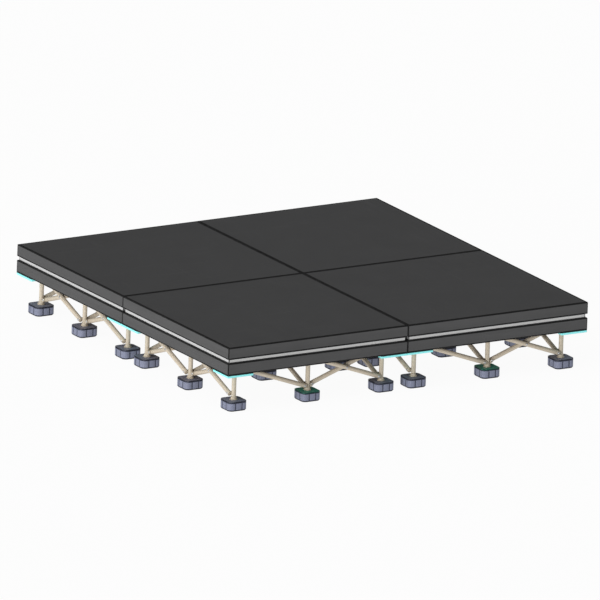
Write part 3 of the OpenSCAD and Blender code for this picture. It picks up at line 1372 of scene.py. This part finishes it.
@dataclass(frozen=True)
class Deck:
    """A square deck: a plywood board in a frame of mitred rails, with joists and corner plates.

    The mitre's rim is the depth and the length of its broken edge, and the plate's corner is a radius
    and the bands beside it. The places of the screws are measured from the corner of the deck, and
    the screw's profile holds radius and height from the underside of the plate.
    """

    shop: Workshop
    place: str
    width: float = 1.219
    board: float = 1.210
    board_low: float = 0.388
    board_high: float = 0.406
    board_rim: float = 0.0006
    board_border: float = 0.0085
    board_slide: Slide = Slide(per_deck=(1.7, 1.3, 0.0))
    rail: float = 0.030
    rail_slide: Slide = Slide((0.71, 0.0, 0.11), (0.37, 0.19, 0.0))
    lower_seed: int = 5
    strip_seed: int = 9
    lip: float = 0.004
    upper_low: float = 0.335
    strip_low: float = 0.311
    strip_recess: float = 0.010
    # Height of the band of painted recess shade along each rim of the strip's outer face
    strip_wall: float = 0.003
    strip_gap: float = 0.0002
    strip_painted_shade: float = 0.0042
    lower_low: float = 0.238
    mitre_gap: float = 0.0003
    mitre_rim: Point = (0.0005, 0.001)
    rim: float = 0.0026
    band: float = 0.0038
    sill: float = 0.0054
    joist_width: float = 0.040
    joist_low: float = 0.308
    joist_pitch: float = 0.500
    joist_gap: float = 0.0003
    joist_corner: float = 0.003
    joist_rim: float = 0.002
    joist_slide: Slide = Slide((0.9, 0.2, 0.0))
    plate_low: float = 0.223
    plate_reach: float = 0.175
    plate_arm: float = 0.045
    plate_joint: float = 0.0002
    plate_corner: Triple = (0.004, 0.001, 0.001)
    plate_rim: float = 0.0010
    plate_band: float = 0.0009
    plate_slide: Slide = Slide((0.3, 0.0, 0.0), (0.0, 0.2, 0.0))
    gasket: float = 0.0032
    gasket_gap: float = 0.0001
    screws: tuple[Point, ...] = ((0.015, 0.015), (0.130, 0.015), (0.015, 0.130))
    screw_turns: int = 20
    screw_profile: tuple[Point, ...] = (
        (0.0, -0.0002), (0.0022, -0.0002), (0.0025, -0.0019), (0.0040, -0.0017), (0.0055, -0.0008),
        (0.0060, 0.0004), (0.0030, 0.0004), (0.0030, 0.052), (0.0, 0.055),
    )

    @property
    def centre(self) -> Vector:
        """Where the middle of the deck is, on the floor."""
        return on_floor(f"deck_{self.place}_panel")

    def length(self, section: Outline) -> Shape:
        """One mitred length of an edge section, along the front side.

        Args:
            section: The section, as depth from the deck's face and height.

        Returns:
            The length, with broken mitre rims.
        """
        rings = []
        depth, run = self.mitre_rim
        ends = [(depth, 0.0), (0.0, run), (0.0, run + self.band)]
        for side, stops in ((-1, ends), (1, ends[::-1])):
            for inset, back in stops:
                flat = section.inset(inset) if inset else np.array(section.points)
                half = self.width / 2 - flat[:, 0] - self.mitre_gap - back
                rings.append(np.column_stack([side * half, flat[:, 0] - self.width / 2, flat[:, 1]]))
        return skinned(rings, [1.0, 1.0, 0.0, 1.0, 1.0], section.marks)

    def ring(self, section: Outline, seed: int) -> Shape:
        """The four lengths of an edge section, in their places."""
        one, home = self.length(section), Matrix.Translation(self.centre)
        return Shape.joined(one.moved(home @ way.spin, self.rail_slide.at(way.turns, seed)) for way in Way)

    def upper_section(self) -> Outline:
        """The upper rail, whose lip stands beside the board.

        Returns:
            Its section.
        """
        rim, band = self.rim, self.band
        corners = [
            Corner(0.0, self.upper_low, rim, self.sill, band),
            Corner(self.rail, self.upper_low, rim, band, band),
            Corner(self.rail, self.board_low),
            Corner(self.lip, self.board_low),
            Corner(self.lip, self.board_high, mark=1.0),
            Corner(0.0, self.board_high, rim, 0.0, band),
        ]
        return rounded_outline(corners, steps=2)

    def strip_section(self) -> Outline:
        """The channel strip, open inward, with painted shade of the recess on the bands along its rims.

        Returns:
            Its section.
        """
        low, high = self.strip_low + self.strip_gap, self.upper_low - self.strip_gap
        out, wall, shade_height = self.strip_recess, self.strip_wall, self.strip_painted_shade
        made = Outline()
        for x, y, mark in (
            (out, low, 0.0),
            (self.rail, low, 0.0),
            (self.rail, low + wall, 0.0),
            (out + wall, low + wall, 0.0),
            (out + wall, high - wall, 0.0),
            (self.rail, high - wall, 0.0),
            (self.rail, high, 0.0),
            # The two marked stretches of the outer face are painted shade of the recess, under the upper rail
            # and over the lower rail's ledge
            (out, high, 1.0),
            (out, high - shade_height, 0.0),
            (out, low + shade_height, 1.0),
        ):
            made.add(x, y, mark)
        return made

    def lower_section(self) -> Outline:
        """The lower rail.

        Returns:
            Its section.
        """
        rim, band = self.rim, self.band
        corners = [
            Corner(0.0, self.lower_low, rim, self.sill, band),
            Corner(self.rail, self.lower_low, rim, band, band),
            Corner(self.rail, self.strip_low, rim, band, band),
            Corner(0.0, self.strip_low, rim, band, band),
        ]
        return rounded_outline(corners, steps=2)

    def board_shape(self) -> Shape:
        """The board, with a sealed border along its rim."""
        outline = rectangle(self.board, self.board, 0.0)
        return slab(outline, self.board_low, self.board_high, self.board_rim, self.board_border, 2)

    def joists(self) -> Shape:
        """The three joists under the board.

        Returns:
            The joists, in their places.
        """
        length = self.width - 2 * (self.rail + self.joist_gap)
        outline = rectangle(length, self.joist_width, self.joist_corner, 2)
        one = slab(outline, self.joist_low, self.board_low, self.joist_rim, steps=2)
        lie = Matrix.Rotation(QUARTER, 4, "Z")
        places = {i: self.centre + Vector((i * self.joist_pitch, 0, 0)) for i in (-1, 0, 1)}
        return Shape.joined(
            one.moved(Matrix.Translation(place) @ lie, self.joist_slide.at(i)) for i, place in places.items()
        )

    def corners(self) -> dict[Way, Matrix]:
        """The place of each corner, whose plate is built with the corner at the origin."""
        corner = Matrix.Translation((-self.width / 2, -self.width / 2, 0))
        return {way: Matrix.Translation(self.centre) @ way.spin @ corner for way in Way}

    def corner_plate(self, low: float, high: float) -> Shape:
        """The two bars under a corner, one butted against the other, with the corner at the origin.

        Args:
            low: Height of their underside.
            high: Height of their upper side.

        Returns:
            The bars.
        """
        reach, arm, start = self.plate_reach, self.plate_arm, self.plate_arm + self.plate_joint
        tip = self.plate_corner
        bars = (
            (Corner(0, 0, *tip), Corner(reach, 0, *tip), Corner(reach, arm, *tip), Corner(0, arm)),
            (Corner(0, start), Corner(arm, start), Corner(arm, reach, *tip), Corner(0, reach, *tip)),
        )
        outlines = [rounded_outline(bar) for bar in bars]
        return Shape.joined(slab(bar, low, high, self.plate_rim, self.plate_band, 2) for bar in outlines)

    def corner_layers(self, seed: int) -> list[Part]:
        """The plates and the gaskets above them.

        Args:
            seed: Number of the deck.

        Returns:
            Each layer of each corner with its finish.
        """
        seam, gap = self.lower_low - self.gasket, self.gasket_gap
        return [
            (self.corner_plate(low, high).moved(place, self.plate_slide.at(way.turns, seed)), finish)
            for low, high, finish in (
                (self.plate_low, seam, Finishes.TURQUOISE_PLASTIC),
                (seam + gap, self.lower_low - gap, Finishes.TEAL_PLASTIC),
            )
            for way, place in self.corners().items()
        ]

    def screw_heads(self) -> Shape:
        """The button head screws with round recesses, on the undersides of the corner plates.

        Returns:
            All twelve screws, in their places.
        """
        profile = [(radius, self.plate_low + height) for radius, height in self.screw_profile]
        one = turned(profile, self.screw_turns)
        spots = [Matrix.Translation((x, y, 0)) for x, y in self.screws]
        return Shape.joined(one.moved(place @ spot) for place in self.corners().values() for spot in spots)

    def build(self, seed: int) -> None:
        """Makes the pieces of the deck.

        Args:
            seed: Number of the deck, so that no two decks are marked alike.
        """
        name = f"deck_{self.place}"
        board = self.board_shape().moved(Matrix.Translation(self.centre), self.board_slide.at(0, seed))
        upper = self.ring(self.upper_section(), seed)
        lower = self.ring(self.lower_section(), seed + self.lower_seed)
        strip = self.ring(self.strip_section(), seed + self.strip_seed)
        for part, parts, node in (
            ("board", [(board, Finishes.GRIP_FILM)], "panel"),
            ("rails", [(Shape.joined([upper, lower]), Finishes.RAIL_STAIN)], "frame"),
            ("strip", [(strip, Finishes.STRIP)], "frame"),
            ("joists", [(self.joists(), Finishes.RAIL_STAIN)], "frame"),
            ("corner_plates", self.corner_layers(seed), "corners"),
            ("screws", [(self.screw_heads(), Finishes.ZINC)], "corners"),
        ):
            self.shop.piece(f"{name}_{part}", parts, f"{name}_{node}")
        LOG.info("deck %s: board, rails, strip, joists, corner plates and screws", self.place)


# The studio


@dataclass(frozen=True)
class Lamp:
    """A soft lamp. Its spread is in degrees."""

    name: str
    towards: Triple
    strength: float
    spread: float

    def hang(self) -> None:
        """Puts the lamp in the scene."""
        data = bpy.data.lights.new(self.name, "SUN")
        data.energy = self.strength
        data.angle = math.radians(self.spread)
        lamp = in_scene(self.name, data)
        lamp.rotation_mode = "QUATERNION"
        lamp.rotation_quaternion = Vector(self.towards).to_track_quat("Z", "Y")


@dataclass(frozen=True)
class Studio:
    """The camera at the photograph's viewing angle, the pale floor and the soft light."""

    view_width: float = 3.508
    right: Triple = (0.8615, -0.5068, 0.0321)
    up: Triple = (0.1114, 0.2504, 0.9617)
    aim_right: float = -0.0033
    aim_up: float = 0.2333
    distance: float = 10.0
    clip: Point = (0.1, 100.0)
    sky: float = 0.30
    floor_half: float = 40.0
    floor_paint: float = 0.85
    floor_glow: Point = (0.7, 0.95)
    lamps: tuple[Lamp, ...] = (
        Lamp("key", (-0.90, 0.0, 0.42), 1.35, 50),
        Lamp("over", (-0.10, -0.10, 0.99), 0.50, 50),
        Lamp("low", (-0.82, -0.56, 0.10), 1.5, 16),
    )

    def camera(self) -> None:
        """Makes the camera."""
        data = bpy.data.cameras.new("camera")
        data.type = "ORTHO"
        data.ortho_scale = self.view_width
        data.clip_start, data.clip_end = self.clip
        camera = in_scene("camera", data)
        bpy.context.scene.camera = camera
        right = Vector(self.right).normalized()
        back = right.cross(Vector(self.up)).normalized()
        up = back.cross(right)
        place = right * self.aim_right + up * self.aim_up + back * self.distance
        turn = Matrix((right, up, back)).transposed()
        camera.matrix_world = Matrix.Translation(place) @ turn.to_4x4()

    @staticmethod
    def by_camera_ray(w: Wiring, other: float, camera: float) -> Socket:
        """Gives one value to what the camera sees itself and another one to what lights the scene."""
        return w.spread(w.node("ShaderNodeLightPath").outputs["Is Camera Ray"], other, camera, 0.0, 1.0)

    def floor(self) -> None:
        """Makes the pale floor, which is lit a little from within, as a light table is."""
        half = self.floor_half
        mesh = bpy.data.meshes.new("floor")
        corners = [(-half, -half, 0), (half, -half, 0), (half, half, 0), (-half, half, 0)]
        mesh.from_pydata(corners, [], [(0, 1, 2, 3)])
        made = bpy.data.materials.new("pale_floor")
        made.use_nodes = True
        w = Wiring(made.node_tree)
        glow = w.node("ShaderNodeEmission", {"Color": (1, 1, 1, 1), "Strength": 1.0})
        paint = w.node("ShaderNodeBsdfDiffuse", {"Color": (*[self.floor_paint] * 3, 1)})
        share = self.by_camera_ray(w, *self.floor_glow)
        mix = w.node("ShaderNodeMixShader", {0: share, 1: paint.outputs[0], 2: glow.outputs[0]})
        w.node("ShaderNodeOutputMaterial", {"Surface": mix.outputs[0]})
        mesh.materials.append(made)
        floor = in_scene("floor", mesh)

    def light(self) -> None:
        """Makes the soft surrounding light and the three lamps."""
        world = bpy.data.worlds.new("studio")
        world.use_nodes = True
        bpy.context.scene.world = world
        w = Wiring(world.node_tree)
        strength = self.by_camera_ray(w, self.sky, 1.0)
        sky = w.node("ShaderNodeBackground", {"Color": (1, 1, 1, 1), "Strength": strength})
        w.node("ShaderNodeOutputWorld", {"Surface": sky.outputs[0]})
        for lamp in self.lamps:
            lamp.hang()
        bpy.context.scene.view_settings.view_transform = "Standard"


def main() -> None:
    """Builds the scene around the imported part."""
    logging.basicConfig(level=logging.INFO, format="%(name)s: %(message)s")
    studio = Studio()
    studio.camera()
    shop = Workshop(Finishes(Effects()))
    places = ("front_left", "front_right", "back_left", "back_right")
    decks = [Deck(shop, place) for place in places]
    for seed, deck in enumerate(decks):
        deck.build(seed)
    risers = Risers(shop)
    risers.fold()
    risers.stand([deck.centre - decks[0].centre for deck in decks[1:]])
    studio.floor()
    studio.light()
    LOG.info("%d pieces", shop.count)


if __name__ == "__main__":
    main()
